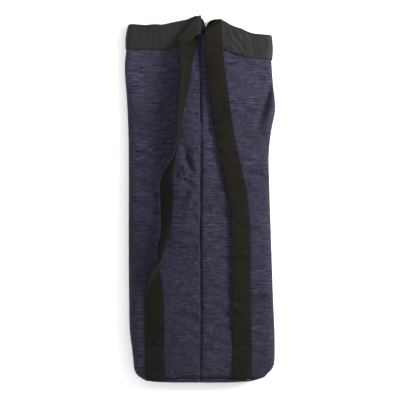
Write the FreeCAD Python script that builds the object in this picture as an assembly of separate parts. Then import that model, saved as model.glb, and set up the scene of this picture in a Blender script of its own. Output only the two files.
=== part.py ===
import FreeCAD, Part
import math
import os

# Drawstring carry case for a small telescope tube: a padded cloth tube with a base panel, a dark
# drawstring casing round the mouth, and one webbing that runs round inside the casing and comes
# out at the front as two shoulder straps, whose lower ends are sewn to the front near the base.
#
# Millimetres. The empty case lies on its back: X across, Y from the base to the mouth, Z up out of
# the front panel. The origin is the middle of the flat back panel, on the surface it lies on.

V = FreeCAD.Vector
os.makedirs("parts", exist_ok=True)

# ---- driving dimensions ----
WIDTH = 294.0                 # flat width of the empty tube
BASE_END_Y = -370.0
MOUTH_END_Y = 365.0
BASE_HEIGHT = 50.0            # how high the empty case stands at its base end
MOUTH_HEIGHT = 24.0           # and at its mouth
CORNER_RADIUS = 55.0          # base corners, seen from the front
FLATTENED = 1.0               # how much of the tube's round underside the floor presses flat
CLOTH = 1.2                   # outer cloth
FOAM = 3.0                    # padding in the tube wall
LINING = 0.6                  # lining cloth
BASE_FOAM = 6.0               # padding in the base panel
BASE_SEAM_Y = BASE_END_Y + 14.0   # the seam that joins the tube to the base panel
SEAM_LIP = (-8.0, 0.0)        # folded edge of the front seam, in x
SEAM_LIP_HEIGHT = 0.8

CASING_HEIGHT = 52.0          # drawstring casing, finished
CHANNEL_GAP = 4.0             # room for the webbing between the casing's two plies
CASING_HEM = 4.0              # sewn-flat margin under the channel
SLOT = (-4.0, 46.0)           # the front slot that lets the webbing out of the channel, in x

WEBBING_WIDTH = 38.0
WEBBING = 2.0                 # webbing thickness
STRAP_LIFT_OFF = 1.9          # air between the front panel and the underside of a strap
JOINT_GAP = 1.0               # air between two pieces of one strap
ANCHOR_Y = (-352.0, -292.0)   # the sewn-down end of each strap
STRAP_TOP_Y = 319.0           # each strap's tail starts here
FOLD_GAP = 0.4                # air between the left tail and the ply that turns back over it
MOUTH_GAP = 0.8               # air between the webbing and the casing's fold at the mouth
THREAD_WIDTH = 0.8
THREAD_HEIGHT = 0.4
BOX_INSET = 5.0               # the boxed-cross stitching, in from the webbing's edges
STITCH_INSET = 2.0            # a seam's stitching, in from the seam

# Each strap's middle line, drawn flat on the front panel: (x, y), or (x, y, twist in degrees) where
# the webbing turns up on its edge. The elbow is where the strap bends when it is lifted.
RIGHT_LOWER = [(84.5, -200.0), (84.5, -70.0)]
RIGHT_ELBOW = (77.5,)
RIGHT_UPPER = [(58.0, 103.0), (43.0, 185.0), (31.0, 260.0)]
RIGHT_TAIL_X = 25.0
LEFT_LOWER = [(-92.8, -190.0), (-84.0, -120.0, 25.0), (-74.0, -40.0, 42.0)]
LEFT_ELBOW = (-66.0, 50.0)
LEFT_UPPER = [(-44.0, 103.0, 76.0), (-37.7, 185.0, 76.0), (-29.6, 246.0, 55.0), (-22.0, 290.0, 25.0)]
LEFT_TAIL_X = -19.4

# ---- worked out from them ----
HALF_WIDTH = WIDTH / 2
LENGTH = MOUTH_END_Y - BASE_END_Y
SLOPE = math.atan((MOUTH_HEIGHT - BASE_HEIGHT) / LENGTH)
CASING_Y = MOUTH_END_Y - CASING_HEIGHT
CHANNEL = (CLOTH, CLOTH + CHANNEL_GAP)
CASING_WALL = CHANNEL[1] + CLOTH
PADDING = (CLOTH, CLOTH + FOAM)
WALL = PADDING[1] + LINING
WEBBING_INSET = CLOTH + (CHANNEL_GAP - WEBBING) / 2    # the webbing's depth in the channel
WEBBING_TOP_Y = MOUTH_END_Y - CLOTH - MOUTH_GAP
WEBBING_Y = (WEBBING_TOP_Y - WEBBING_WIDTH, WEBBING_TOP_Y)


def height_at(y):
    """Height of the front panel above the floor."""
    return BASE_HEIGHT + (y - BASE_END_Y) * math.tan(SLOPE)


def section(y, inset):
    """A flattened tube's section: flat back and front, half-round sides, all drawn in by inset."""
    high = height_at(y)
    flat = HALF_WIDTH - high / 2
    low, top, out = inset - FLATTENED, high - inset, HALF_WIDTH - inset
    corners = [V(-flat, y, low), V(flat, y, low), V(flat, y, top), V(-flat, y, top)]
    return Part.Wire([
        Part.LineSegment(corners[0], corners[1]).toShape(),
        Part.Arc(corners[1], V(out, y, high / 2), corners[2]).toShape(),
        Part.LineSegment(corners[2], corners[3]).toShape(),
        Part.Arc(corners[3], V(-out, y, high / 2), corners[0]).toShape(),
    ])


def slab(y0, y1):
    """Everything between two stations along the case."""
    return Part.makeBox(2 * WIDTH, y1 - y0, 4 * BASE_HEIGHT, V(-WIDTH, y0, -BASE_HEIGHT))


def plan(inset):
    """The front view's outline, drawn in by inset and standing on the flattened underside: square at
    the mouth, with round base corners."""
    side, end, top = HALF_WIDTH - inset, BASE_END_Y + inset, MOUTH_END_Y + LENGTH
    radius = CORNER_RADIUS - inset
    near = radius * (1 - math.sqrt(0.5))
    right = [V(side - radius, end, 0), V(side - near, end + near, 0), V(side, end + radius, 0)]
    left = [V(-point.x, point.y, 0) for point in right]
    edges = [
        Part.LineSegment(left[0], right[0]),
        Part.Arc(*right),
        Part.LineSegment(right[2], V(side, top, 0)),
        Part.LineSegment(V(side, top, 0), V(-side, top, 0)),
        Part.LineSegment(V(-side, top, 0), left[2]),
        Part.Arc(*left[::-1]),
    ]
    face = Part.Face(Part.Wire([edge.toShape() for edge in edges]))
    face.translate(V(0, 0, inset))
    return face.extrude(V(0, 0, 4 * BASE_HEIGHT))


BLOCKS = {}


def body(inset):
    """The whole case as one solid block, drawn in by inset on every side except the mouth."""
    if inset not in BLOCKS:
        ends = [section(BASE_END_Y, inset), section(MOUTH_END_Y, inset)]
        BLOCKS[inset] = Part.makeLoft(ends, True, True).common(plan(inset))
    return BLOCKS[inset]


def wall(outer, inner, y0, y1):
    """The layer of the case between two insets and two stations."""
    return body(outer).cut(body(inner)).common(slab(y0, y1))


def on_front(shape):
    """Moves a shape drawn flat at z = 0 onto the sloping front panel."""
    lifted = shape.copy()
    lifted.rotate(V(0, 0, 0), V(1, 0, 0), math.degrees(SLOPE))
    lifted.translate(V(0, 0, height_at(0)))
    return lifted


def plate(points, z, thick):
    """A flat plate with corners at points, drawn flat and then laid on the front panel."""
    outline = [V(x, y, z) for x, y in points]
    face = Part.Face(Part.makePolygon(outline + outline[:1]))
    return on_front(face.extrude(V(0, 0, thick)))


def ribbon(stops):
    """Webbing along stops; a twisted stop stands on its low edge."""
    rings = []
    for x, y, *turned in stops:
        turn = math.radians(turned[0] if turned else 0.0)
        across, up = V(math.cos(turn), 0, math.sin(turn)), V(-math.sin(turn), 0, math.cos(turn))
        rise = (WEBBING_WIDTH * math.sin(turn) + WEBBING * math.cos(turn)) / 2
        middle = V(x, y, STRAP_LIFT_OFF + rise)
        a, b = across * (WEBBING_WIDTH / 2), up * (WEBBING / 2)
        corners = [middle - a - b, middle + a - b, middle + a + b, middle - a + b]
        rings.append(Part.makePolygon(corners + corners[:1]))
    return on_front(Part.makeLoft(rings, True, True))


def elbow_y(foot_x, tail_x, elbow_x):
    """The elbow's y that makes the two lengths of a strap equal along the line from foot to tail."""
    foot_y, top_y = ANCHOR_Y[1] + JOINT_GAP / 2, STRAP_TOP_Y - JOINT_GAP / 2
    across, along = tail_x - foot_x, top_y - foot_y
    return foot_y + ((across ** 2 + along ** 2) / 2 - (elbow_x - foot_x) * across) / along


def thread(start, end, z):
    """One straight line of sewing thread, drawn flat and laid on the front panel."""
    (x0, y0), (x1, y1) = start, end
    half = THREAD_WIDTH / 2 / math.hypot(x1 - x0, y1 - y0)
    sx, sy = (y0 - y1) * half, (x1 - x0) * half
    return plate([(x0 - sx, y0 - sy), (x1 - sx, y1 - sy), (x1 + sx, y1 + sy), (x0 + sx, y0 + sy)],
                 z, THREAD_HEIGHT)


def boxed_cross(x):
    """The thread that sews a strap's end down: a rectangle with both diagonals."""
    left, right = x - WEBBING_WIDTH / 2 + BOX_INSET, x + WEBBING_WIDTH / 2 - BOX_INSET
    low, high = ANCHOR_Y[0] + BOX_INSET, ANCHOR_Y[1] - BOX_INSET
    corners = [(left, low), (right, low), (right, high), (left, high)]
    sides = list(zip(corners, corners[1:] + corners[:1]))
    diagonals = [(corners[0], corners[2]), (corners[1], corners[3])]
    sewn = [thread(start, end, WEBBING) for start, end in sides + diagonals]
    return sewn[0].multiFuse(sewn[1:]).removeSplitter()


def strap_end(x, above):
    """The corners of a strap's tail, cut at 45 degrees along its fold, or of the fold's other ply."""
    left, right = x - WEBBING_WIDTH / 2, x + WEBBING_WIDTH / 2
    if above:
        return [(left, WEBBING_Y[0]), (right, WEBBING_Y[0]), (right, WEBBING_Y[1])]
    return [(left, STRAP_TOP_Y), (right, STRAP_TOP_Y), (right, WEBBING_Y[1]), (left, WEBBING_Y[0])]


NODES = {}

# ---- tube: cloth, padding and lining, one inside the other ----
base_foam_y = BASE_END_Y + CLOTH
base_lining_y = base_foam_y + BASE_FOAM
inner_base_y = base_lining_y + LINING
NODES["outer_cover"] = wall(0, CLOTH, BASE_SEAM_Y, CASING_Y)
NODES["padding_sleeve"] = wall(*PADDING, inner_base_y, CASING_Y)
NODES["lining_tube"] = wall(PADDING[1], WALL, inner_base_y, CASING_Y)

# ---- base: a cloth cap that turns up round the edge, with its own padding and lining ----
NODES["base_cloth"] = wall(0, CLOTH, BASE_END_Y, BASE_SEAM_Y)
NODES["base_pad"] = body(CLOTH).common(slab(base_foam_y, base_lining_y))
NODES["base_lining"] = body(CLOTH).common(slab(base_lining_y, inner_base_y))

# ---- front seam: the folded edge of the tube's one long seam ----
lip_y = (ANCHOR_Y[0], CASING_Y - CLOTH)
lip = [(x, y) for y, xs in zip(lip_y, (SEAM_LIP, SEAM_LIP[::-1])) for x in xs]
NODES["front_seam_lip"] = plate(lip, 0, SEAM_LIP_HEIGHT)

# ---- drawstring casing: one band folded over at the mouth, open inside for the webbing ----
channel_y = (CASING_Y + CASING_HEM, MOUTH_END_Y - CLOTH)
casing = wall(0, CASING_WALL, CASING_Y, MOUTH_END_Y).cut(wall(*CHANNEL, *channel_y))
slot = Part.makeBox(SLOT[1] - SLOT[0], LENGTH, 2 * CLOTH, V(SLOT[0], channel_y[0], -1.5 * CLOTH))
NODES["casing_band"] = casing.cut(on_front(slot))

# ---- webbing inside the casing: out at the left of the slot, where it turns back over the band
# and folds down, and at the right, where it is cut along its 45 degree fold ----
ring = wall(WEBBING_INSET, WEBBING_INSET + WEBBING, *WEBBING_Y)
turn_x = LEFT_TAIL_X + WEBBING_WIDTH / 2
fold = strap_end(RIGHT_TAIL_X, False)[2:]
missing = [V(turn_x, WEBBING_Y[0] - 1, 0), V(turn_x, WEBBING_Y[1] + 1, 0),
           V(fold[0][0] + 1, WEBBING_Y[1] + 1, 0), V(fold[1][0] - 1, WEBBING_Y[0] - 1, 0)]
opening = Part.Face(Part.makePolygon(missing + missing[:1]))
opening.translate(V(0, 0, MOUTH_HEIGHT / 2))
ring = ring.cut(opening.extrude(V(0, 0, MOUTH_HEIGHT)))
upper_z = STRAP_LIFT_OFF + WEBBING + FOLD_GAP
lower_z = -WEBBING_INSET - WEBBING
outer_r = (upper_z + WEBBING - lower_z) / 2
axis_at = V(turn_x, WEBBING_Y[0], lower_z + outer_r)
turn = Part.makeCylinder(outer_r, WEBBING_WIDTH, axis_at, V(0, 1, 0))
turn = turn.cut(Part.makeCylinder(outer_r - WEBBING, WEBBING_WIDTH, axis_at, V(0, 1, 0)))
turn = turn.common(Part.makeBox(WIDTH, LENGTH, WIDTH, V(turn_x, WEBBING_Y[0], -WIDTH / 2)))
turned_ply = plate(strap_end(LEFT_TAIL_X, True), upper_z, WEBBING)
NODES["casing_webbing"] = ring.fuse([on_front(turn), turned_ply])

# ---- straps: a sewn-down end, two swinging lengths and a tail that slides at the slot ----
STRAPS = {
    "right": (RIGHT_LOWER, RIGHT_ELBOW, RIGHT_UPPER, RIGHT_TAIL_X),
    "left": (LEFT_LOWER, LEFT_ELBOW, LEFT_UPPER, LEFT_TAIL_X),
}
for side, (lower, elbow, upper, tail_x) in STRAPS.items():
    foot_x = lower[0][0]
    bend_y = elbow_y(foot_x, tail_x, elbow[0])
    before = (elbow[0], bend_y - JOINT_GAP / 2, *elbow[1:])
    after = (elbow[0], bend_y + JOINT_GAP / 2, *elbow[1:])
    anchor = [(foot_x + half, y) for y, s in zip(ANCHOR_Y, (1, -1))
              for half in (-s * WEBBING_WIDTH / 2, s * WEBBING_WIDTH / 2)]
    NODES[f"{side}_strap_anchor"] = plate(anchor, 0, WEBBING)
    NODES[f"{side}_anchor_thread"] = boxed_cross(foot_x)
    NODES[f"{side}_strap_lower"] = ribbon([(foot_x, ANCHOR_Y[1] + JOINT_GAP), *lower, before])
    NODES[f"{side}_strap_upper"] = ribbon([after, *upper, (tail_x, STRAP_TOP_Y - JOINT_GAP)])
    NODES[f"{side}_strap_tail"] = plate(strap_end(tail_x, False), STRAP_LIFT_OFF, WEBBING)

# ---- sewing threads that show on the front ----
reach = HALF_WIDTH - MOUTH_HEIGHT
hem_y = CASING_Y + CASING_HEM / 2
NODES["casing_thread"] = thread((-reach, hem_y), (reach, hem_y), 0)
seam_x = SEAM_LIP[0] + STITCH_INSET
NODES["front_seam_thread"] = thread((seam_x, lip_y[0] + STITCH_INSET), (seam_x, lip_y[1] - STITCH_INSET),
                                    SEAM_LIP_HEIGHT)
base_thread_y = BASE_SEAM_Y + STITCH_INSET
NODES["base_seam_thread"] = thread((CORNER_RADIUS - HALF_WIDTH, base_thread_y),
                                   (HALF_WIDTH - CORNER_RADIUS, base_thread_y), 0)

for name, shape in NODES.items():
    if not shape.isValid() or not shape.Solids:
        raise ValueError(f"{name} isn't a sound solid")
    shape.exportStep(f"parts/{name}.step")
    print(f"{name:22s} solids {len(shape.Solids)}  volume {shape.Volume / 1000:8.1f} cm3")
for side, (lower, elbow, upper, tail_x) in STRAPS.items():
    foot = V(lower[0][0], ANCHOR_Y[1] + JOINT_GAP / 2, STRAP_LIFT_OFF + WEBBING / 2)
    bend = V(elbow[0], elbow_y(foot.x, tail_x, elbow[0]), foot.z)
    top = V(tail_x, STRAP_TOP_Y - JOINT_GAP / 2, foot.z)
    hinges = [on_front(Part.Vertex(point)).Point for point in (foot, bend, top)]
    chord = (hinges[2] - hinges[0]).normalize()
    normal = V(0, -math.sin(SLOPE), math.cos(SLOPE))
    print(side, "hinges", [tuple(round(c, 2) for c in p) for p in hinges],
          "axis", tuple(round(c, 5) for c in chord.cross(normal)))
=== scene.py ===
import math

import bpy
import numpy as np
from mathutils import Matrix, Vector, noise


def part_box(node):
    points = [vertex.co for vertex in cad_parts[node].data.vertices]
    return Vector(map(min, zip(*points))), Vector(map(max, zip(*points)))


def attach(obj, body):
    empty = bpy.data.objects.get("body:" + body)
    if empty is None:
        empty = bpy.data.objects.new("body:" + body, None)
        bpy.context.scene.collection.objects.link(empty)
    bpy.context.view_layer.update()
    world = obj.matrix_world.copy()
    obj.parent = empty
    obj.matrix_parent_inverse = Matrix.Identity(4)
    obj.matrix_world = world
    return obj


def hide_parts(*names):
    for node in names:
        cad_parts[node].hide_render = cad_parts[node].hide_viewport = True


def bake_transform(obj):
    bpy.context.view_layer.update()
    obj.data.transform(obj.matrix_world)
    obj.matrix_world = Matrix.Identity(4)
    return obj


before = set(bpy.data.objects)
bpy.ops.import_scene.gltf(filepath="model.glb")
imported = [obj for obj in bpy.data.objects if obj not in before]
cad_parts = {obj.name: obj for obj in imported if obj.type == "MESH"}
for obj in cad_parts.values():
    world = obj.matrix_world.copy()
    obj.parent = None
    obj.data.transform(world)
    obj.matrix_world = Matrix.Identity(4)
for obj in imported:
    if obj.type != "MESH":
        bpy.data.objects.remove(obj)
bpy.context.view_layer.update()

# The main places come from the CAD nodes, in metres. X is across, Y runs from the base to the mouth,
# and Z is up out of the front panel. Tables are in millimetres.
MM = 0.001
half_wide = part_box("outer_cover")[1][0]
base_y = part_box("base_cloth")[0][1]
seam_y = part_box("base_cloth")[1][1]
casing_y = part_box("casing_band")[0][1]
base_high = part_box("base_cloth")[1][2]
webbing_wide = 38 * MM
webbing_thick = 2 * MM
TUBE_MIDDLE = np.array([0, 0, 20 * MM])


# ---------------------------------------------------------------- small helpers

def ease(t):
    """A smooth step from 0 to 1."""
    t = np.clip(t, 0, 1)
    return t * t * (3 - 2 * t)


def along(points, at):
    """Values at 'at' on a soft curve through (place, value) points."""
    places, values = (np.array(c, float) for c in zip(*points))
    slopes = np.gradient(values, places)
    at = np.clip(at, places[0], places[-1])
    k = np.clip(np.searchsorted(places, at) - 1, 0, len(places) - 2)
    step = places[k + 1] - places[k]
    t = (at - places[k]) / step
    a, b, c, d = values[k], slopes[k] * step, values[k + 1], slopes[k + 1] * step
    return ((2 * t**3 - 3 * t**2 + 1) * a + (t**3 - 2 * t**2 + t) * b
            + (3 * t**2 - 2 * t**3) * c + (t**3 - t**2) * d)


def along_mm(points, at):
    """As along, for a table in millimetres."""
    return along([(a * MM, b * MM) for a, b in points], at)


def bump_noise(x, y, size, seed=0.0):
    """Soft lumps of about one size, from -1 to 1."""
    flat = [noise.noise(Vector((a / size, b / size, seed)))
            for a, b in zip(np.ravel(x), np.ravel(y))]
    return np.reshape(flat, np.shape(x))


def deselect():
    bpy.ops.object.select_all(action="DESELECT")


def only(piece):
    deselect()
    piece.select_set(True)
    bpy.context.view_layer.objects.active = piece


def apply_all(piece):
    only(piece)
    for modifier in list(piece.modifiers):
        bpy.ops.object.modifier_apply(modifier=modifier.name)


def points_of(mesh):
    """A mesh's points as an N x 3 array."""
    flat = np.empty(len(mesh.vertices) * 3)
    mesh.vertices.foreach_get("co", flat)
    return flat.reshape(-1, 3)


def cloth_grid(name, columns, rows, place, size, grain=None):
    """A flat grid of cloth bent into place. place(u, v) gives x, y and z, and size is the cut cloth's
    width and length in metres, which its UV map keeps. grain(u, bent points) gives another UV map."""
    deselect()
    bpy.ops.mesh.primitive_grid_add(x_subdivisions=columns, y_subdivisions=rows, size=1)
    piece = bpy.context.object
    piece.name = piece.data.name = name
    flat = points_of(piece.data) + 0.5
    bent = np.stack(np.broadcast_arrays(*place(flat[:, 0], flat[:, 1])), axis=1)
    piece.data.vertices.foreach_set("co", bent.ravel())
    uv = piece.data.uv_layers.active.data
    cut = np.empty(len(uv) * 2)
    uv.foreach_get("uv", cut)
    cut = cut.reshape(-1, 2) * size
    if grain:
        corner = np.empty(len(uv), int)
        piece.data.loops.foreach_get("vertex_index", corner)
        cut = np.stack(grain(flat[corner, 0], bent[corner]), axis=1)
    uv.foreach_set("uv", cut.ravel())
    return piece


def merge(piece, distance=0.05 * MM):
    only(piece)
    bpy.ops.object.mode_set(mode="EDIT")
    bpy.ops.mesh.select_all(action="SELECT")
    bpy.ops.mesh.remove_doubles(threshold=distance)
    bpy.ops.object.mode_set(mode="OBJECT")


def thicken(piece, thick, offset=-1.0, rounded=0.0):
    wall = piece.modifiers.new("wall", "SOLIDIFY")
    wall.thickness = thick
    wall.offset = offset
    if rounded:
        edge = piece.modifiers.new("edge", "BEVEL")
        edge.width = rounded
        edge.segments = 2
        edge.limit_method = "ANGLE"
        edge.angle_limit = math.radians(50)
    apply_all(piece)


def unit(v):
    return v / np.maximum(np.linalg.norm(v, axis=-1, keepdims=True), 1e-9)


def stitches(name, points, ahead, up, long=2.5 * MM, thick=0.7 * MM):
    """A row of short stitches, each at a point, lying ahead and standing up. Arrays of N x 3."""
    deselect()
    bpy.ops.mesh.primitive_uv_sphere_add(segments=6, ring_count=4, radius=0.5)
    piece = bpy.context.object
    piece.name = piece.data.name = name
    row = piece.modifiers.new("row", "ARRAY")
    row.count = len(points)
    apply_all(piece)
    each = points_of(piece.data).reshape(len(points), -1, 3)[0]
    ahead = unit(ahead)
    right = unit(np.cross(ahead, up))
    up = np.cross(right, ahead)
    shaped = (points[:, None] + ahead[:, None] * each[None, :, 2:3] * long
              + right[:, None] * each[None, :, :1] * thick
              + up[:, None] * each[None, :, 1:2] * thick * 0.8)
    piece.data.vertices.foreach_set("co", shaped.ravel())
    return piece


def stitch_row(name, place, us, v, lift):
    """Stitches round the tube, along the line (us, v) of a place function, a little off its face."""
    def at(u, v):
        return np.stack(np.broadcast_arrays(*place(u, v)), axis=1)
    vs = np.full_like(us, v)
    points = at(us, vs)
    ahead = np.gradient(points, axis=0)
    up = unit(np.cross(ahead, at(us, vs + 0.01) - at(us, vs - 0.01)))
    outward = (points - TUBE_MIDDLE) * (1, 0.0, 1)
    up = np.where(np.sum(up * outward, axis=1, keepdims=True) < 0, -up, up)
    return stitches(name, points + up * lift, ahead, up)


def smooth(piece):
    only(piece)
    bpy.ops.object.shade_smooth()


def finish_piece(piece, material, body, nodes=()):
    """Gives a piece its material, parents it to its body if it has one, and hides the CAD nodes it stands
    for.
    """
    smooth(piece)
    piece.data.materials.clear()
    piece.data.materials.append(material)
    if body:
        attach(piece, body)
    if nodes:
        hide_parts(*nodes)


# ---------------------------------------------------------------- materials

class Nodes:
    """A material's node tree, with short calls to add and join nodes."""

    def __init__(self, name):
        self.material = bpy.data.materials.new(name)
        self.material.use_nodes = True
        self.tree = self.material.node_tree
        self.shader = self.tree.nodes["Principled BSDF"]

    def add(self, kind, inputs=None, **settings):
        node = self.tree.nodes.new(kind)
        for key, value in settings.items():
            setattr(node, key, value)
        for key, value in (inputs or {}).items():
            if isinstance(value, bpy.types.NodeSocket):
                self.tree.links.new(value, node.inputs[key])
            else:
                node.inputs[key].default_value = value
        return node

    def join(self, source, target):
        self.tree.links.new(source, self.shader.inputs[target])

    def scaled(self, vector, scale):
        return self.add("ShaderNodeMapping", {"Vector": vector, "Scale": scale}).outputs["Vector"]

    def ramp(self, factor, stops):
        node = self.add("ShaderNodeValToRGB", {"Fac": factor})
        elements = node.color_ramp.elements
        for k, (place, shade) in enumerate(stops):
            element = elements[k] if k < 2 else elements.new(place)
            element.position = place
            element.color = (*(shade if hasattr(shade, "__len__") else (shade,) * 3), 1)
        return node.outputs["Color"]

    def noise(self, vector, scale, size=1.0, detail=2.0):
        inputs = {"Vector": self.scaled(vector, scale), "Scale": size, "Detail": detail}
        return self.add("ShaderNodeTexNoise", inputs).outputs["Fac"]

    def math(self, operation, a, b):
        return self.add("ShaderNodeMath", {0: a, 1: b}, operation=operation).outputs[0]

    def sine(self, turns):
        """A wave that repeats once to the whole number."""
        return self.math("SINE", self.math("MULTIPLY", turns, math.tau), 0.0)

    def times(self, a, b):
        """One colour multiplied by another."""
        return self.mix(1.0, a, b, "MULTIPLY")

    def mix(self, factor, a, b, blend="MIX"):
        node = self.add("ShaderNodeMix", data_type="RGBA", blend_type=blend)
        for socket, value in zip((node.inputs[0], node.inputs[6], node.inputs[7]), (factor, a, b)):
            if isinstance(value, bpy.types.NodeSocket):
                self.tree.links.new(value, socket)
            else:
                socket.default_value = value
        return node.outputs[2]

    def weave(self, uv, across, up):
        """Height of a plain weave: over and under threads, across and up threads to the metre."""
        flow = self.add("ShaderNodeSeparateXYZ", {0: self.scaled(uv, (across, up, 1))})
        return self.math("MULTIPLY", self.sine(flow.outputs[0]), self.sine(flow.outputs[1]))

    def bumps(self, layers):
        """Adds (height, strength, distance) layers, each on the one before."""
        normal = None
        for height, strength, distance in layers:
            inputs = {"Height": height, "Strength": strength, "Distance": distance}
            if normal:
                inputs["Normal"] = normal
            normal = self.add("ShaderNodeBump", inputs).outputs["Normal"]
        self.join(normal, "Normal")


def slub_cloth(name, dark, light):
    """Navy-grey woven cloth whose weft is spun unevenly, so it shows short lighter and darker lines."""
    n = Nodes(name)
    uv = n.add("ShaderNodeTexCoord").outputs["UV"]
    body = n.add("ShaderNodeTexCoord").outputs["Object"]
    # The cloth's tone is uneven in patches, darker towards the base and lighter towards the mouth, and dusty
    # in places.
    patches = n.noise(body, (1, 1, 1), 9, 3)
    length = n.add("ShaderNodeSeparateXYZ", {0: body}).outputs[1]
    height = n.math("MULTIPLY_ADD", n.math("ADD", length, n.math("MULTIPLY", patches, 0.12)), 1.0)
    fade = n.ramp(height, [(0.18, 0.74), (0.62, 0.95), (0.86, 1.22)])
    cloth_tone = n.times(n.mix(patches, (*dark, 1), (*light, 1)), fade)
    dusty = n.ramp(n.noise(body, (1, 1.6, 1), 13, 4), [(0.50, 0.0), (0.70, 0.30)])
    cloth_tone = n.mix(dusty, cloth_tone, (0.0205, 0.0190, 0.0240, 1))
    # Slubs lie across the tube, and some stretches of the cloth are calm.
    calm = n.ramp(n.noise(uv, (14, 20, 1), 1, 3), [(0.36, 0.15), (0.62, 1.0)])
    long_slubs = n.ramp(n.noise(uv, (24, 380, 1), 1, 1),
                        [(0.25, 0.36), (0.44, 0.92), (0.58, 1.03), (0.74, 2.1)])
    long_slubs = n.mix(calm, (1, 1, 1, 1), long_slubs)
    fine_slubs = n.ramp(n.noise(uv, (75, 560, 1), 1, 2), [(0.28, 0.5), (0.72, 1.5)])
    ladders = n.ramp(n.noise(uv, (520, 60, 1), 1, 1), [(0.3, 0.82), (0.7, 1.2)])
    streaks = n.times(n.times(long_slubs, fine_slubs), ladders)
    warp = n.ramp(n.noise(uv, (1500, 45, 1), 1, 1), [(0.3, 0.9), (0.7, 1.1)])
    n.join(n.times(n.times(cloth_tone, streaks), warp), "Base Color")
    n.join(n.ramp(n.noise(uv, (60, 700, 1), 1, 2), [(0.2, 0.74), (0.8, 0.92)]), "Roughness")
    n.shader.inputs["Specular IOR Level"].default_value = 0.05
    n.shader.inputs["Sheen Weight"].default_value = 0.05
    n.shader.inputs["Sheen Roughness"].default_value = 0.5
    n.shader.inputs["Sheen Tint"].default_value = (0.55, 0.55, 0.75, 1)
    n.bumps([(n.noise(uv, (26, 470, 1), 1, 1), 0.5, 0.0006), (n.weave(uv, 700, 700), 0.35, 0.0002)])
    return n.material


def band_nylon(name, dark, light):
    """Plain brown-black nylon with a soft shine."""
    n = Nodes(name)
    uv = n.add("ShaderNodeTexCoord").outputs["UV"]
    body = n.add("ShaderNodeTexCoord").outputs["Object"]
    base = n.mix(n.noise(body, (1, 1, 1), 22, 4), (*dark, 1), (*light, 1))
    threads = n.ramp(n.noise(uv, (900, 900, 1), 1, 2), [(0.3, 0.85), (0.7, 1.15)])
    n.join(n.times(base, threads), "Base Color")
    n.join(n.ramp(n.noise(body, (1, 1, 1), 30, 3), [(0.3, 0.5), (0.7, 0.68)]), "Roughness")
    n.shader.inputs["Specular IOR Level"].default_value = 0.12
    n.shader.inputs["Sheen Weight"].default_value = 0.03
    n.shader.inputs["Sheen Roughness"].default_value = 0.4
    n.bumps([(n.noise(body, (1, 1, 1), 90, 3), 0.5, 0.0008), (n.weave(uv, 900, 900), 0.3, 0.00015)])
    return n.material


def strap_webbing(name, dark, light):
    """Brown-black webbing: close ribs across it, and a twill that runs along it."""
    n = Nodes(name)
    uv = n.add("ShaderNodeTexCoord").outputs["UV"]
    body = n.add("ShaderNodeTexCoord").outputs["Object"]
    base = n.mix(n.noise(body, (1, 1, 1), 14, 3), (*dark, 1), (*light, 1))
    place = n.add("ShaderNodeSeparateXYZ", {0: uv})
    ribs = n.math("SINE", n.math("MULTIPLY", place.outputs[1], math.tau * 620), 0.0)
    zigzag = n.math("MULTIPLY", n.math("PINGPONG", place.outputs[0], webbing_wide / 8), 520.0)
    twill = n.sine(n.math("ADD", zigzag, n.math("MULTIPLY", place.outputs[1], 310.0)))
    threads = n.ramp(n.math("MULTIPLY_ADD", twill, 0.5), [(0.0, 0.8), (1.0, 1.2)])
    fade = n.ramp(n.noise(uv, (60, 300, 1), 1, 2), [(0.3, 0.8), (0.7, 1.25)])
    n.join(n.times(n.times(base, threads), fade), "Base Color")
    n.join(n.ramp(n.noise(uv, (200, 200, 1), 1, 2), [(0.3, 0.68), (0.7, 0.85)]), "Roughness")
    n.shader.inputs["Specular IOR Level"].default_value = 0.06
    n.shader.inputs["Sheen Weight"].default_value = 0.02
    n.bumps([(twill, 0.45, 0.0003), (ribs, 0.35, 0.0002)])
    return n.material


def plain_soft(name, dark, light, threads, rough=0.85):
    """A quiet cloth, wadding or thread: two close tones, a fine grain and a matt face."""
    n = Nodes(name)
    body = n.add("ShaderNodeTexCoord").outputs["Object"]
    grain = n.noise(body, (1, 1, 1), threads, 3)
    n.join(n.mix(grain, (*dark, 1), (*light, 1)), "Base Color")
    n.join(n.ramp(grain, [(0.2, rough - 0.08), (0.8, rough + 0.08)]), "Roughness")
    n.bumps([(grain, 0.4, 0.0003)])
    return n.material


cover_cloth = slub_cloth("slub_cloth", (0.0149, 0.0133, 0.0234), (0.0264, 0.0234, 0.0405))
casing_cloth = band_nylon("band_nylon", (0.0084, 0.0073, 0.0074), (0.0150, 0.0133, 0.0133))
webbing = strap_webbing("strap_webbing", (0.0039, 0.0031, 0.0021), (0.0070, 0.0057, 0.0039))
# A lit copy of the webbing, lighter than the straps: painted light for the folded-back ply.
webbing_painted_lit = strap_webbing("strap_webbing_painted_lit", (0.0086, 0.0076, 0.0066), (0.0143, 0.0128, 0.0112))
wadding = plain_soft("wadding", (0.55, 0.55, 0.53), (0.70, 0.70, 0.68), 400)
lining = plain_soft("lining_cloth", (0.020, 0.020, 0.024), (0.034, 0.034, 0.040), 900)
sewing_thread = plain_soft("sewing_thread", (0.0048, 0.0042, 0.0048), (0.0096, 0.0090, 0.0102), 2500)
floor_paint = plain_soft("floor_paint", (0.90, 0.90, 0.90), (0.92, 0.92, 0.92), 3, 0.6)


# ---------------------------------------------------------------- the shape of the padded tube

# How far each side stands out, from the base to the mouth: (y, reach from the middle), in mm.
LEFT_REACH = [
    (-370, 133), (-340, 135), (-309, 138), (-271, 143), (-200, 145), (-60, 146), (60, 146),
    (150, 147), (212, 150), (280, 154), (320, 150), (370, 145),
]
RIGHT_REACH = [
    (-370, 151), (-305, 153), (-180, 149), (-60, 145), (40, 142), (95, 141), (150, 147),
    (185, 154), (240, 150), (300, 146), (350, 146),
]
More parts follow.
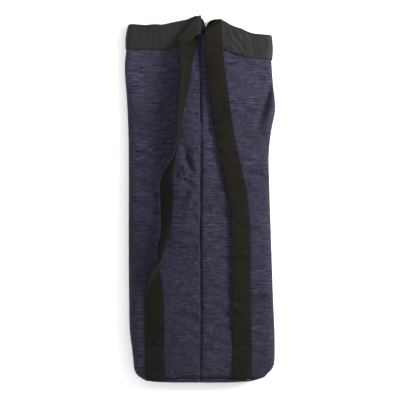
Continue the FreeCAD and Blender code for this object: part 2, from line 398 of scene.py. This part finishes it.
# The casing's two edges on the front, which droop to the right, and its edge on the back: (x, y), in mm.
CASING_TOP = [
    (-150, 365), (-101, 363), (-80, 360), (-60, 364), (-30, 370), (0, 378), (25, 362), (40, 372),
    (52, 367), (66, 359), (93, 351), (128, 345), (150, 342),
]
CASING_LOW = [
    (-150, 315), (-111, 315), (-91, 311), (-70, 311), (-50, 316), (-30, 322), (0, 338), (30, 323),
    (46, 312), (62, 304.5), (83, 298), (110, 293), (150, 291),
]
CASING_BACK = [
    (-150, 362), (-100, 359), (-60, 360), (-25, 366), (-6, 372), (2, 374), (7, 364), (12, 348),
    (18, 345), (60, 344), (110, 342), (150, 339),
]
# The tube's height at its sides and along its middle: (y, height), in mm.
SIDE_HIGH = [(-370, 37), (-300, 36), (0, 29), (200, 23), (320, 19), (380, 18)]
MIDDLE_HIGH = [(-370, 46), (-300, 46), (-150, 40), (0, 36), (200, 29), (310, 26), (380, 23)]
# The base corners' quarter ovals, across and along.
LEFT_CORNER = (30 * MM, 34 * MM)
RIGHT_CORNER = (46 * MM, 48 * MM)
CLOTH_ROUND, COVER_LONG = 0.600, 0.672       # the cover's cut width and length
INNER_ROUND, INNER_LONG = 0.590, 0.670       # the wadding's and the lining's

# Folds and dents of the front: start, end, half width, height in mm.
FOLDS = [
    ((154, 262), (118, 150), 7, -7.5), ((158, 228), (136, 150), 9, 5.0),
    ((150, 300), (60, 285), 9, 2.0), ((60, 245), (140, 215), 10, -2.0),
    ((-150, 262), (-90, 225), 11, -2.2), ((-146, 205), (-70, 190), 9, 1.6),
    ((-34, 112), (-18, 60), 7, -6.0), ((-12, 120), (-6, 40), 5, 2.0),
    ((-40, 74), (-10, 52), 4, 2.6), ((-38, 46), (-12, 30), 4, -2.6),
    ((-34, 32), (-10, 18), 4, 1.8), ((-24, 96), (-10, 84), 3, 2.4),
    ((62, 300), (140, 262), 6, -1.8), ((-140, 300), (-70, 288), 8, -1.4),
    ((10, 150), (50, 120), 9, -1.8), ((-140, 120), (-60, 90), 11, 1.6),
    ((-146, 40), (-80, 20), 10, -1.8), ((100, 60), (146, 40), 9, -2.0),
    ((95, -40), (150, -60), 9, 1.8), ((-140, -90), (-100, -110), 8, -1.6),
    ((10, -60), (70, -75), 8, 1.3), ((4, -170), (70, -182), 8, -1.6),
    ((-70, -215), (-10, -225), 8, 1.4), ((105, -190), (150, -205), 8, -2.0),
    ((105, -260), (152, -275), 8, 1.8), ((-145, -290), (-110, -330), 8, -2.0),
    ((8, -290), (60, -300), 8, 1.2), ((-66, -310), (-8, -318), 8, -1.3),
    ((120, -300), (110, -345), 9, -2.0),
]


def reach(points, corner, y):
    """A side's reach at y, with the base corner rounded off."""
    wide = along_mm(points, y)
    rise = np.clip((corner[1] - (y - base_y)) / corner[1], 0, 1)
    return wide - corner[0] * (1 - np.sqrt(np.clip(1 - rise**2, 0, 1)))


def reaches(y):
    """The left and right sides' reach at y."""
    return reach(LEFT_REACH, LEFT_CORNER, y), reach(RIGHT_REACH, RIGHT_CORNER, y)


def fold_relief(x, y):
    """Height that the folds and soft lumps add to the front at x, y."""
    total = np.zeros(np.shape(x))
    for (x0, y0), (x1, y1), wide, high in FOLDS:
        dx, dy = x1 - x0, y1 - y0
        t = np.clip(((x / MM - x0) * dx + (y / MM - y0) * dy) / (dx**2 + dy**2), 0, 1)
        away = np.hypot(x / MM - x0 - t * dx, y / MM - y0 - t * dy)
        taper = 0.35 + 0.65 * np.sin(math.pi * np.clip(t, 0.06, 0.94))
        total += high * np.exp(-(away / wide) ** 2) * taper
    total += (1.5 * bump_noise(x, y * 1.3, 62 * MM, 1.0)
              + 0.9 * bump_noise(x * 0.7, y * 1.6, 24 * MM, 5.0))
    total += 0.35 * bump_noise(x * 0.6, y * 2.2, 11 * MM, 9.0)
    # The cloth is crumpled in a patch between the front seam and the left strap.
    crumpled = np.exp(-(((x / MM + 24) / 19) ** 2) - ((y / MM - 56) / 40) ** 2)
    total += crumpled * (2.6 * bump_noise(x, y, 9 * MM, 11.0) + 1.8 * bump_noise(x * 1.4, y, 5.5 * MM, 12.0))
    return total * MM


SEAM_X = 1.5 * MM


def seam_line(y):
    """The front seam's x at y. It wanders a little, but not where the base panel holds it."""
    return SEAM_X + 0.8 * MM * np.sin(y / (46 * MM)) * ease((y - base_y) / (150 * MM))


def seam_groove(x, y):
    """Depth of the front seam, between two soft rolls."""
    away = np.abs(x - seam_line(y))
    pull = 0.75 + 0.25 * np.sin(y / (17 * MM))
    return (-6.0 * MM * np.exp(-(away / (2.9 * MM)) ** 2)
            + 1.1 * MM * pull * np.exp(-((away - 9 * MM) / (7 * MM)) ** 2))


# Heights that the cloth simulation adds to the skin, on a grid of turn (columns) and y (rows).
WRINKLE_ENDS = (-355 * MM, 322 * MM)
wrinkles = np.zeros((2, 2))


def arc_share(turn):
    """A turn's share of the way round. Turns are closer together by the front seam than at the back."""
    return turn - 0.55 * np.sin(math.tau * turn) / math.tau


TURNS = np.linspace(-1, 1, 4001)
TURN_SHARES = arc_share(TURNS)


def wrinkle_at(turn, y):
    """The simulated wrinkles' height at a turn and y, between the grid's points."""
    rows, columns = (n - 1 for n in wrinkles.shape)
    turn, y = np.broadcast_arrays(turn, y)
    i = (turn % 1.0) * columns
    j = np.clip((y - WRINKLE_ENDS[0]) / (WRINKLE_ENDS[1] - WRINKLE_ENDS[0]), 0, 1) * rows
    i0, j0 = np.minimum(i.astype(int), columns - 1), np.minimum(j.astype(int), rows - 1)
    a, b = i - i0, j - j0
    low = wrinkles[j0, i0] * (1 - a) + wrinkles[j0, i0 + 1] * a
    high = wrinkles[j0 + 1, i0] * (1 - a) + wrinkles[j0 + 1, i0 + 1] * a
    return (low * (1 - b) + high * b) * ease((300 * MM - y) / (22 * MM))


def tube_point(turn, y, inset=0.0, puff=0.0):
    """A point of the tube's skin. turn goes once round from the front seam, past the right side and
    the back; inset draws the skin in, and puff pushes it out on the front and the sides."""
    creased = wrinkle_at(turn, y)
    left, right = (side - inset for side in reaches(y))
    radius = along_mm(SIDE_HIGH, y) / 2 - inset
    flat_right, flat_left = right - radius, left - radius
    bend = math.pi * radius
    total = 2 * (flat_right + flat_left) + 2 * bend
    s = arc_share(turn) * total
    # Once round: half the front, the right bend, the back, the left bend, the other half of the front.
    stretches = np.broadcast_arrays(flat_right, bend, flat_right + flat_left, bend, flat_left)
    marks = np.cumsum(np.stack(stretches), axis=0)
    right_angle = math.pi / 2 - np.clip((s - marks[0]) / bend, 0, 1) * math.pi
    left_angle = math.pi / 2 - np.clip((marks[3] - s) / bend, 0, 1) * math.pi
    on = [s < mark for mark in marks[:4]]
    x = np.select(on, [s, flat_right + radius * np.cos(right_angle), flat_right - (s - marks[1]),
                       -flat_left - radius * np.cos(left_angle)], s - marks[4])
    z = np.select(on, [2 * radius, radius + radius * np.sin(right_angle), 0 * s,
                       radius + radius * np.sin(left_angle)], 2 * radius)
    share = z / (2 * radius)
    across = np.where(x > 0, x / (right + 1e-6), x / (left + 1e-6))
    middle = along_mm(MIDDLE_HIGH, y) - 2 * inset
    z = z + (middle - 2 * radius) * ease(share) * (1 - across**2) ** 1.2 + inset
    front = ease((share - 0.35) / 0.4)
    inside_edge = ease((1 - np.abs(across)) / 0.12 + 0.25)
    z = z + front * (fold_relief(x, y) * inside_edge + seam_groove(x, y) + creased) + puff * front
    x = x + puff * np.sign(x) * np.clip(1 - np.abs(2 * share - 1), 0, 1)
    return x, y + 0 * x, z


def front_z(x, y):
    """Height of the front panel at x, y, for what lies on it."""
    left, right = reaches(y)
    across = np.where(x > 0, x / right, x / left)
    side = along_mm(SIDE_HIGH, y)
    middle = along_mm(MIDDLE_HIGH, y)
    round_it = 2 * (left + right - side) + math.pi * side
    creased = wrinkle_at(np.interp(x / round_it, TURN_SHARES, TURNS), y)
    return side + (middle - side) * (1 - across**2) ** 1.2 + fold_relief(x, y) + creased


def under_share(turn, soft):
    """1 on the back of the tube and 0 on the front, with a soft change at the sides."""
    return ease((0.25 - np.abs(turn - 0.5)) / soft + 0.5)


def edge_line(points, x, turn):
    """A casing edge's y at x: its own line on the front, and a plainer one on the back."""
    front = along_mm(points, x)
    drop = 0 if points is CASING_TOP else 50 * MM
    back = along_mm(CASING_BACK, x) - drop
    under = under_share(turn, 0.06)
    return front * (1 - under) + back * under


# ---------------------------------------------------------------- outer cloth, padding and lining

def base_rim_y(turn):
    """Where the base seam runs: straight across the front but for a slight dip on the left, up round
    the corners, and a little lower at the back."""
    across = tube_x(turn, -0.32) / half_wide
    dip = 3 * MM * ease((-across - 0.2) / 0.3) * ease((across + 0.9) / 0.15)
    return seam_y - 2.5 * MM - dip + 13 * MM * across**8 - 6 * MM * under_share(turn, 0.1)


def tube_x(turn, y):
    """The skin's x at a turn, all at one y."""
    return tube_point(turn, np.full_like(turn, y))[0]


def blurred(grid, spread):
    """A grid of numbers averaged over a square of neighbours, twice."""
    for axis in (0, 1, 0, 1):
        wide = np.pad(grid, [(spread, spread) if k == axis else (0, 0) for k in (0, 1)], mode="edge")
        grid = np.mean([np.roll(wide, -k, axis) for k in range(2 * spread + 1)], axis=0)
        grid = grid[: len(grid) - 2 * spread] if axis == 0 else grid[:, : grid.shape[1] - 2 * spread]
    return grid


SEWN_Y, SEWN_XS = -0.325, (0.0855, -0.0915)      # the middles of the straps' sewn ends
SETTLING_STEPS = 20
CREASE_CAP = 2.6 * MM                            # wrinkles ease off towards this height


def held_points(points, turn):
    """The trial skin's points that can't move: along the front seam, at both ends, under the back, and
    where the straps are sewn on."""
    x, y, z = points.T
    on_strap = (np.abs(x - SEWN_XS[0]) < 0.02) | (np.abs(x - SEWN_XS[1]) < 0.02)
    sewn = (np.abs(y - SEWN_Y) < 0.034) & on_strap & (z > 0.02)
    seam = (turn < 0.001) | (turn > 0.999)
    back = np.abs(turn - 0.5) < 0.17
    return seam | back | sewn | (y < -0.352) | (y > 0.318)


def simulate_wrinkles(columns, rows):
    """Lets a trial skin, a little too big for its frame, buckle as cloth, and returns the heights of its
    creases. The broad swell between them is mostly taken out, because the tube's section gives it."""
    low, high = WRINKLE_ENDS

    def place(u, v):
        return tube_point(u, low + v * (high - low))
    trial = cloth_grid("trial_skin", columns, rows, place, (CLOTH_ROUND, high - low))
    before = points_of(trial.data)
    held = held_points(before, np.tile(np.linspace(0, 1, columns + 1), rows + 1))
    pins = trial.vertex_groups.new(name="held")
    pins.add([int(k) for k in np.flatnonzero(held)], 1.0, "REPLACE")
    cloth = trial.modifiers.new("cloth", "CLOTH").settings
    cloth.vertex_group_mass = "held"
    cloth.quality = 6
    cloth.mass = 0.25
    cloth.tension_stiffness = cloth.compression_stiffness = 18
    cloth.shear_stiffness = 8
    cloth.bending_stiffness = 0.35
    cloth.tension_damping = cloth.compression_damping = 8
    cloth.air_damping = 1
    cloth.shrink_min = -0.05                     # cut 5% too big
    cloth.use_pressure = True
    cloth.uniform_pressure_force = 0.3
    cloth.effector_weights.gravity = 0
    for step in range(1, SETTLING_STEPS + 1):
        bpy.context.scene.frame_set(step)
    settled = trial.evaluated_get(bpy.context.evaluated_depsgraph_get())
    rise = (points_of(settled.data) - before)[:, 2].reshape(rows + 1, columns + 1)
    bpy.context.scene.frame_set(1)
    bpy.data.objects.remove(trial)
    swell = blurred(rise, 6)
    creases = 1.25 * (rise - swell) + 0.10 * swell
    return CREASE_CAP * np.tanh(creases / CREASE_CAP)


wrinkles = simulate_wrinkles(150, 160)


def cover_place(u, v):
    """The cover, from the base seam, where it tucks in, to just inside the casing."""
    foot = base_rim_y(u)
    top = edge_line(CASING_LOW, tube_x(u, 0.30), u) + 6 * MM
    x, y, z = tube_point(u, foot + v * (top - foot))
    tuck = ease(1 - v / 0.012)
    return x * (1 - 0.015 * tuck), y, z + (0.4 * base_high - z) * 0.24 * tuck


def straight_grain(u, bent):
    """The cloth's weft runs straight across the tube, and its edges are cut through it."""
    return arc_share(u) * CLOTH_ROUND, bent[:, 1] - base_y


cover = cloth_grid("cover", 208, 230, cover_place, (CLOTH_ROUND, COVER_LONG), straight_grain)
merge(cover)
thicken(cover, 1.2 * MM)
finish_piece(cover, cover_cloth, "case", ["outer_cover"])


def lip_place(u, v):
    """The seam's folded edge, which stands up beside the groove."""
    y = seam_y + 8 * MM + v * (casing_y - seam_y)
    x = seam_line(y) - 1.2 * MM - 4.5 * MM * u + 0.5 * MM * bump_noise(y, 0 * y, 9 * MM)
    skin = front_z(x, y) + seam_groove(x, y)
    return x, y, skin + (1.5 - 1.1 * u) * MM + 0.5 * MM * bump_noise(y, 0 * y, 13 * MM, 4.0)


lip = cloth_grid("front_seam_lip_roll", 4, 330, lip_place, (0.006, 0.665))
thicken(lip, 0.9 * MM, 1.0, 0.25 * MM)
finish_piece(lip, cover_cloth, "case", ["front_seam_lip"])


def inner_layer(name, inset, thick, material, node, up_to):
    """A sleeve inside the cover. It starts clear of the base seam, so it can't show through it."""
    def place(u, v):
        foot = base_rim_y(u) + 14 * MM
        return tube_point(u, foot + v * (up_to - foot), inset)
    piece = cloth_grid(name, 96, 90, place, (INNER_ROUND, INNER_LONG))
    merge(piece)
    thicken(piece, thick)
    finish_piece(piece, material, "case", [node])
    return piece


padding = inner_layer("wadding_sleeve", 3.6 * MM, 2.0 * MM, wadding,
                      "padding_sleeve", 0.300)
liner = inner_layer("lining_sleeve", 6.2 * MM, 0.6 * MM, lining,
                    "lining_tube", 0.312)


# ---------------------------------------------------------------- base panel

BASE_BULGE = 3.2          # the higher, the flatter the panel's middle


def base_layer(name, inset, depth, thick, material, node, share=1.0):
    """One layer of the base panel: an oval that bulges out of the base seam. share is how much of the
    oval it fills."""
    def place(u, v):
        f = (1 - v) * share
        x, y, z = tube_point(u, base_rim_y(u) - 0.4 * MM, inset)
        middle_z = 0.4 * base_high
        sunk = ease((f - 0.93) / 0.07) * 0.34
        x, z = x * (1 - 0.1 * sunk), z + (middle_z - z) * sunk
        end = base_y + depth
        y = end + (y + depth - end) * (1 - np.sqrt(np.clip(1 - f**BASE_BULGE, 0, 1)))
        ripple = 0.7 * MM * bump_noise(x, z, 26 * MM, 3.0) * np.sin(math.pi * f)
        return x * f, y + ripple, middle_z + (z - middle_z) * f
    piece = cloth_grid(name, 160, 26, place, (0.600, 0.095))
    merge(piece, 0.2 * MM)
    thicken(piece, thick, 1.0)
    finish_piece(piece, material, "case", [node])
    return piece


base_cloth = base_layer("base_panel", 0.2 * MM, 1.2 * MM, 1.2 * MM, cover_cloth,
                        "base_cloth")
base_pad = base_layer("base_wadding", 2.0 * MM, 3.5 * MM, 1.8 * MM, wadding,
                      "base_pad", 0.86)
base_liner = base_layer("base_lining_panel", 4.2 * MM, 6.0 * MM, 0.6 * MM, lining,
                        "base_lining", 0.84)


# ---------------------------------------------------------------- drawstring casing

def turn_at(x, y):
    """The turn that puts a front point of the tube at x."""
    turns = np.linspace(-0.2, 0.2, 801)
    return np.interp(x, tube_x(turns % 1.0, y), turns)


# The slot in the band, where the webbing comes out, measured halfway up the casing.
SLOT = (-5 * MM, 42 * MM)
CASING_MIDDLE_Y = 0.335
slot_left, slot_right = turn_at(SLOT[0], CASING_MIDDLE_Y), turn_at(SLOT[1], CASING_MIDDLE_Y)
# Shares of the band's width: where the outer ply ends, and where the fold at the mouth ends.
BAND_OUTER, BAND_FOLD = 0.60, 0.70


def gathers(x, y):
    """Upright creases where the drawstring has bunched the band, most of them right of the slot."""
    near = (0.30 + 0.8 * np.exp(-((x - 76 * MM) / (34 * MM)) ** 2)
            + 0.35 * np.exp(-((x + 90 * MM) / (24 * MM)) ** 2))
    fan = x + 0.55 * (y - 350 * MM) * np.exp(-((x - 70 * MM) / (40 * MM)) ** 2)
    ridges = (bump_noise(fan, y * 0.25, 9 * MM, 2.0) * 2.6
              + bump_noise(fan, y * 0.45, 23 * MM, 7.0) * 3.0)
    return near * ridges * MM


def band_place(u, v):
    """The band, from the slot's right end round to its left: up the outside, over the mouth, down inside."""
    turn = (slot_right + u * (1 + slot_left - slot_right)) % 1.0
    x0 = tube_x(turn, CASING_MIDDLE_Y)
    low, top = edge_line(CASING_LOW, x0, turn), edge_line(CASING_TOP, x0, turn)
    rise = np.clip(v / BAND_OUTER, 0, 1)
    bend = np.clip((v - BAND_OUTER) / (BAND_FOLD - BAND_OUTER), 0, 1) * math.pi
    fall = np.clip((v - BAND_FOLD) / (1 - BAND_FOLD), 0, 1)
    y = low + rise * (top - low) + 2 * MM * np.sin(bend) - 32 * MM * fall
    outer = (1.6 + 2.6 * np.sin(math.pi * rise) ** 0.8) * MM
    level = np.cos(bend) * 0.5 + 0.5
    x, y, z = tube_point(turn, y, 5.5 * MM * (1 - level), outer * level)
    wide = np.sin(math.pi * np.clip(rise, 0.12, 0.95)) * level
    z = z + gathers(x, y) * wide * ease((z - 5 * MM) / (8 * MM))
    ends = np.exp(-np.minimum(u, 1 - u) / 0.006) * level
    return x, y, z + 2.5 * MM * ends


band = cloth_grid("casing_band_cloth", 300, 60, band_place, (0.610, 0.110))
thicken(band, 0.6 * MM)
finish_piece(band, casing_cloth, "case", ["casing_band"])


# ---------------------------------------------------------------- webbing

# Each strap from its sewn end to the slot: (y, its right edge's x, twist, lift), in mm and degrees.
RIGHT_PATH = [
    (-357, 104.5, 0, 1.0), (-292, 104.5, 0, 1.0), (-250, 104.1, -5, 1.6), (-150, 102.8, -8, 1.8),
    (-60, 102, -8, 1.8), (22, 94.5, -8, 1.8), (103, 76.5, -8, 2), (150, 67.8, -7, 2.2),
    (185, 62, -6, 2.5), (225, 57.0, -8, 2.5), (260, 52, -11, 3), (310, 46.8, -16, 5),
    (345, 44.8, -22, 7), (380, 44, -22, 7),
]
LEFT_PATH = [
    (-364, -72.5, 0, 1.0), (-292, -72.5, 0, 1.0), (-240, -73, 0, 1.6), (-205, -73.5, 0, 2),
    (-183, -74.5, -40, 2), (-160, -78, -60, 2), (-142, -81, -66, 2), (-130, -82, -79, 2),
    (-122, -83.5, -94, 2.2), (-110, -87, -108, 2.5), (-87, -85.3, -113, 2.5), (-62, -79.5, -120, 3),
    (-36, -79.5, -128, 3), (-11, -79.9, -132, 3), (14, -80.8, -134, 3), (40, -80.6, -134, 3),
    (65, -70.4, -118, 3), (91, -54.3, -97, 3), (119, -46.5, -90, 3), (161, -38.6, -78, 3),
    (208, -28.9, -68, 3), (253, -20, -58, 3), (288, -14.8, -46, 4), (308, -9.6, -30, 5),
    (322, -6.6, -14, 5), (352, -5, 0, 5),
]
# The left strap's turn starts as a crease that runs slantwise over it between these places, in mm.
CREASE = (-184, -134)


def strap_place(path, y0, y1, slant=0.0):
    """A stretch of strap between two stations; slant cuts its far end on the skew."""
    ways = [[(stop[0] * MM, stop[k] * scale) for stop in path]
            for k, scale in ((1, MM), (2, math.pi / 180), (3, MM))]

    def place(u, v):
        y = y0 + v * (y1 + slant * (u - 0.5) * webbing_wide - y0)
        x, turn, lift = (along(way, y) for way in ways)
        lean = (along(ways[0], y + MM) - along(ways[0], y - MM)) / (2 * MM)
        raised = 1.0
        if path is LEFT_PATH:
            raised = np.clip((y / MM - CREASE[0]) / (CREASE[1] - CREASE[0]), 0, 1)
        flat = np.maximum(u - raised, 0) * webbing_wide
        steep = np.minimum(u - raised, 0) * webbing_wide
        upright = np.sin(turn) ** 2
        bow = (1 - (2 * u - 1) ** 2) * upright
        side = (raised - 1) * webbing_wide + flat + steep * np.cos(turn) + 4.0 * MM * bow * raised
        px, py = x + side / np.hypot(1, lean), y - side * lean / np.hypot(1, lean)
        ground = (1 - upright) * front_z(px, py) + upright * front_z(x, y)
        cup = (0.6 + 0.9 * ease((y + 290 * MM) / (60 * MM))) * MM
        cup = cup * (1 - (2 * u - 1) ** 2) * (1 - upright)
        return px, py, ground + lift - steep * np.abs(np.sin(turn)) + cup
    return place


def strap_piece(name, path, y0, y1, nodes, slant=0.0):
    """A stretch of strap from y0 to y1, left with no body."""
    rows = int(abs(y1 - y0) / (2.5 * MM))
    piece = cloth_grid(name, 12, rows, strap_place(path, y0, y1, slant), (webbing_wide, y1 - y0))
    thicken(piece, webbing_thick, 0.0, 0.5 * MM)
    finish_piece(piece, webbing, None, nodes)
    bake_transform(piece)
    return piece


# The lengths of each strap: name, its two ends' y, its two bodies, where it bends, the CAD nodes it
# stands for. A None end is the strap's own.
SPANS = [
    ("lower", None, -100 * MM, ("case", "lower"), (-330 * MM, -254 * MM), ("anchor", "lower")),
    ("upper", -100 * MM, 170 * MM, ("lower", "upper"), (-60 * MM, 92 * MM), ("upper",)),
    ("tail", 170 * MM, None, ("upper", "tail"), (292 * MM, 345 * MM), ("tail",)),
]


def whole_strap(side, path, tail_y, tail_slant):
    """One strap, in its three lengths. Its tail ends at tail_y, cut on the skew."""
    def middle(y):
        return float(along([(stop[0] * MM, stop[1] * MM) for stop in path], y)) - webbing_wide / 2
    for part, y0, y1, bodies, bend, nodes in SPANS:
        strap_piece(f"{side}_strap_{part}_webbing", path,
                    path[0][0] * MM if y0 is None else y0,
                    tail_y if y1 is None else y1,
                    [f"{side}_strap_{node}" for node in nodes],
                    tail_slant if part == "tail" else 0.0)


whole_strap("right", RIGHT_PATH, 0.3563, 0.566)
whole_strap("left", LEFT_PATH, 0.340, 0.6)


def run_place(u, v):
    """The webbing inside the casing, most of the way round the tube."""
    turn = (slot_right + 0.004 + v * (0.992 + slot_left - slot_right)) % 1.0
    x0 = tube_x(turn, CASING_MIDDLE_Y)
    low = edge_line(CASING_LOW, x0, turn) + 8 * MM
    high = np.minimum(edge_line(CASING_TOP, x0, turn) - 4 * MM, low + webbing_wide)
    return tube_point(turn, high + u * (low - high), 1.2 * MM)


run = cloth_grid("casing_run_webbing", 6, 220, run_place, (webbing_wide, 0.560))
thicken(run, 1.2 * MM)
finish_piece(run, webbing, "case", ["casing_webbing"])

# The edges of the ply that comes out of the slot and folds back over the left strap: (x, y), in mm.
FLAP_LOW = [(-50, 330), (-40, 325), (-29, 322), (-17, 329), (-6, 338), (6, 341)]
FLAP_TOP = [(-50, 331), (-28, 352), (-6, 374.5), (2, 378), (6, 372)]


def flap_place(u, v):
    """The folded-back ply: flat for most of its width, then curling down into the slot."""
    flat = np.clip(u / 0.72, 0, 1)
    curl = np.clip((u - 0.72) / 0.28, 0, 1) * math.radians(118)
    x = (-49 + 43 * flat) * MM + 8 * MM * np.sin(curl)
    low, top = (along_mm(edge, x) for edge in (FLAP_LOW, FLAP_TOP))
    y = low + v * (top - low)
    tuck = 5 * MM * ease(1 - (top - y) / (5 * MM)) * (1 - ease(curl))
    lie = front_z(np.minimum(x, -4 * MM), y) + (14.0 + 5.0 * flat) * MM
    return x, y, lie - tuck - 9 * MM * (1 - np.cos(curl)) + 0.3 * MM * bump_noise(x, y, 12 * MM)


flap = cloth_grid("left_casing_webbing_flap", 30, 24, flap_place, (0.055, 0.045))
thicken(flap, 1.4 * MM, 0.0, 0.35 * MM)
# The folded-back ply wears the lighter, lit copy of the webbing: painted light.
finish_piece(flap, webbing_painted_lit, "case")


def stub_place(u, v):
    """The end that turns down over the mouth's edge, under the right strap's fold."""
    ax, ay, bx, by = 11, 345, 46, 369
    away = -10 + (17 + 9 * np.sin(math.pi * np.clip(u, 0, 1) ** 1.3)) * v
    over = np.clip((away - 2) / 7, 0, 1)
    x = (ax + (bx - ax) * u - 0.66 * away) * MM
    y = (ay + (by - ay) * u + 0.75 * away) * MM
    return x, y, front_z(x, np.minimum(y, 0.35)) + (-3.0 - 13 * over**1.5) * MM


stub = cloth_grid("right_casing_webbing_end", 16, 12, stub_place, (0.040, 0.018))
thicken(stub, 1.6 * MM)
finish_piece(stub, webbing, "case")


# ---------------------------------------------------------------- threads

def even(count, start=0.0, end=1.0):
    """Places for a number of stitches, evenly from start to end."""
    return start + (np.arange(count) + 0.5) / count * (end - start)


hem = stitch_row("casing_hem_stitches", band_place, even(178, 0.004, 0.996), 0.034, 0.5 * MM)
finish_piece(hem, sewing_thread, "case", ["casing_thread"])

rim = stitch_row("base_seam_stitches", cover_place, even(186), 0.007, 0.2 * MM)
finish_piece(rim, sewing_thread, "case", ["base_seam_thread"])

ys = np.arange(seam_y + 12 * MM, casing_y - 2 * MM, 3.4 * MM)
xs = np.full_like(ys, SEAM_X + 5.0 * MM)
points = np.stack([xs, ys, front_z(xs, ys) + seam_groove(xs, ys) + 0.2 * MM], axis=1)
seam_row = stitches("front_seam_stitches", points, np.gradient(points, axis=0),
                    np.tile([0, 0, 1.0], (len(ys), 1)))
finish_piece(seam_row, sewing_thread, "case", ["front_seam_thread"])


def boxed_cross(side, path):
    """The sewn end's stitching: a box with a cross in it, a few millimetres inside the webbing's edges."""
    y0, y1 = -350 * MM, -298 * MM
    w = 14.5 * MM
    corners = [(-w, y0), (w, y0), (w, y1), (-w, y1), (-w, y0), (w, y1), (-w, y1), (w, y0)]
    legs = []
    for k, ((ax, ay), (bx, by)) in enumerate(zip(corners, corners[1:])):
        if k == 5:           # this leg only goes back over the box's top side
            continue
        count = int(np.hypot(bx - ax, by - ay) / (3.3 * MM))
        t = even(count)
        legs.append((ax + (bx - ax) * t, ay + (by - ay) * t,
                     np.full(count, bx - ax), np.full(count, by - ay)))
    px, py, ahead_x, ahead_y = (np.concatenate(c) for c in zip(*legs))
    place = strap_place(path, -0.4, 0.4)
    x, y, z = place(px / webbing_wide + 0.5, (py + 0.4) / 0.8)
    flat = np.zeros_like(x)
    piece = stitches(f"{side}_anchor_stitches", np.stack([x, y, z + 1.15 * MM], axis=1),
                     np.stack([ahead_x, ahead_y, flat], axis=1),
                     np.stack([flat, flat, flat + 1], axis=1))
    finish_piece(piece, sewing_thread, "case", [f"{side}_anchor_thread"])


boxed_cross("right", RIGHT_PATH)
boxed_cross("left", LEFT_PATH)


# ---------------------------------------------------------------- floor, light and camera

deselect()
bpy.ops.mesh.primitive_plane_add(size=9, location=(0, 0, -0.0005))
floor = bpy.context.object
floor.name = "floor"
floor.data.materials.append(floor_paint)


def lamp(name, place, size, power):
    """A square soft lamp that is turned towards the case."""
    data = bpy.data.lights.new(name, "AREA")
    data.size = size
    data.energy = power
    lamp_object = bpy.data.objects.new(name, data)
    bpy.context.scene.collection.objects.link(lamp_object)
    lamp_object.location = place
    lamp_object.rotation_euler = (-Vector(place)).to_track_quat("-Z", "Y").to_euler()


lamp("window", (1.8, 0.7, 1.3), 0.8, 96)
lamp("fill", (-1.2, -0.6, 2.2), 2.0, 14)
world = bpy.data.worlds.new("studio")
world.use_nodes = True
world.node_tree.nodes["Background"].inputs["Color"].default_value = (1, 1, 1, 1)
world.node_tree.nodes["Background"].inputs["Strength"].default_value = 1.0
bpy.context.scene.world = world
bpy.context.scene.view_settings.view_transform = "Standard"

# A long lens straight above the case. The frame is FRAME_WIDE across at the front panel's height.
CAMERA_HIGH, FRAME_WIDE, FRONT_HIGH = 3.0, 0.816, 0.025
camera_data = bpy.data.cameras.new("camera")
camera = bpy.data.objects.new("camera", camera_data)
bpy.context.scene.collection.objects.link(camera)
camera.location = (0, 3.3 * MM, CAMERA_HIGH)
camera_data.lens = 36 * (CAMERA_HIGH - FRONT_HIGH) / FRAME_WIDE
bpy.context.scene.camera = camera
